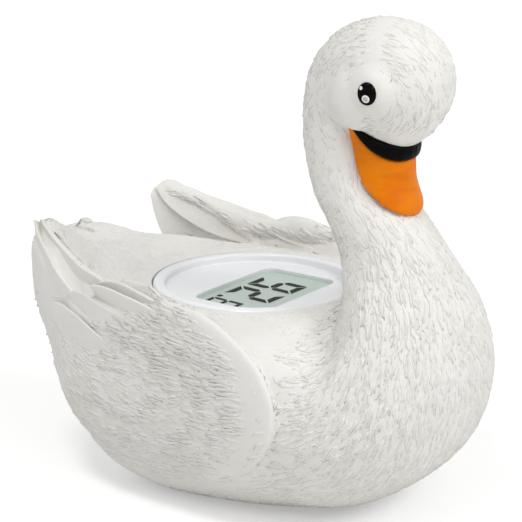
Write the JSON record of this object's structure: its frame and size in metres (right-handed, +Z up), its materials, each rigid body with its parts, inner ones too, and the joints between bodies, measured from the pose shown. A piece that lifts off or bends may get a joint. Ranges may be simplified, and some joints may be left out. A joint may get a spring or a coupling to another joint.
{
  "type": "baby bath thermometer",
  "caption": "White swan-shaped floating bath thermometer for babies, with a round digital display set in its back.",
  "frame": {"origin": "centre of the bounding box on the resting plane, under the belly", "axes": "+X where the swan looks, +Y its left side, +Z up"},
  "size_m": [0.1271, 0.0844, 0.1206],
  "materials": {
    "skin": "warm white moulded skin with carved feather strokes",
    "beak_orange": "orange satin paint",
    "gloss_black": "black gloss paint",
    "module_white": "cool white gloss moulding",
    "window": "clear window",
    "display": "pale grey-green display",
    "foil": "reflector foil",
    "seal": "black rubber",
    "board": "green circuit board",
    "chip": "black resin",
    "steel": "bright steel",
    "brass": "stamped brass",
    "module_grey": "grey moulding"
  },
  "bodies": {
    "root": {"swan_body": "skin", "beak": "beak_orange", "beak_band": "gloss_black", "eye_left": "gloss_black", "eye_right": "gloss_black", "module_bezel": "module_white", "display_window": "window", "lcd_panel": "display", "lcd_reflector": "foil", "zebra_strip": "seal", "circuit_board": "board", "processor_chip": "chip", "battery": "steel", "battery_contact_positive": "brass", "battery_contact_negative": "brass", "module_base": "module_grey", "battery_cover": "module_grey", "cover_seal": "seal", "module_seal": "seal", "sensor_cap": "steel", "thermistor": "chip", "water_contact_left": "steel", "water_contact_right": "steel", "module_screw_1": "steel", "module_screw_2": "steel", "module_screw_3": "steel", "cover_screw_1": "steel", "cover_screw_2": "steel", "cover_screw_3": "steel"}
  },
  "joints": []
}
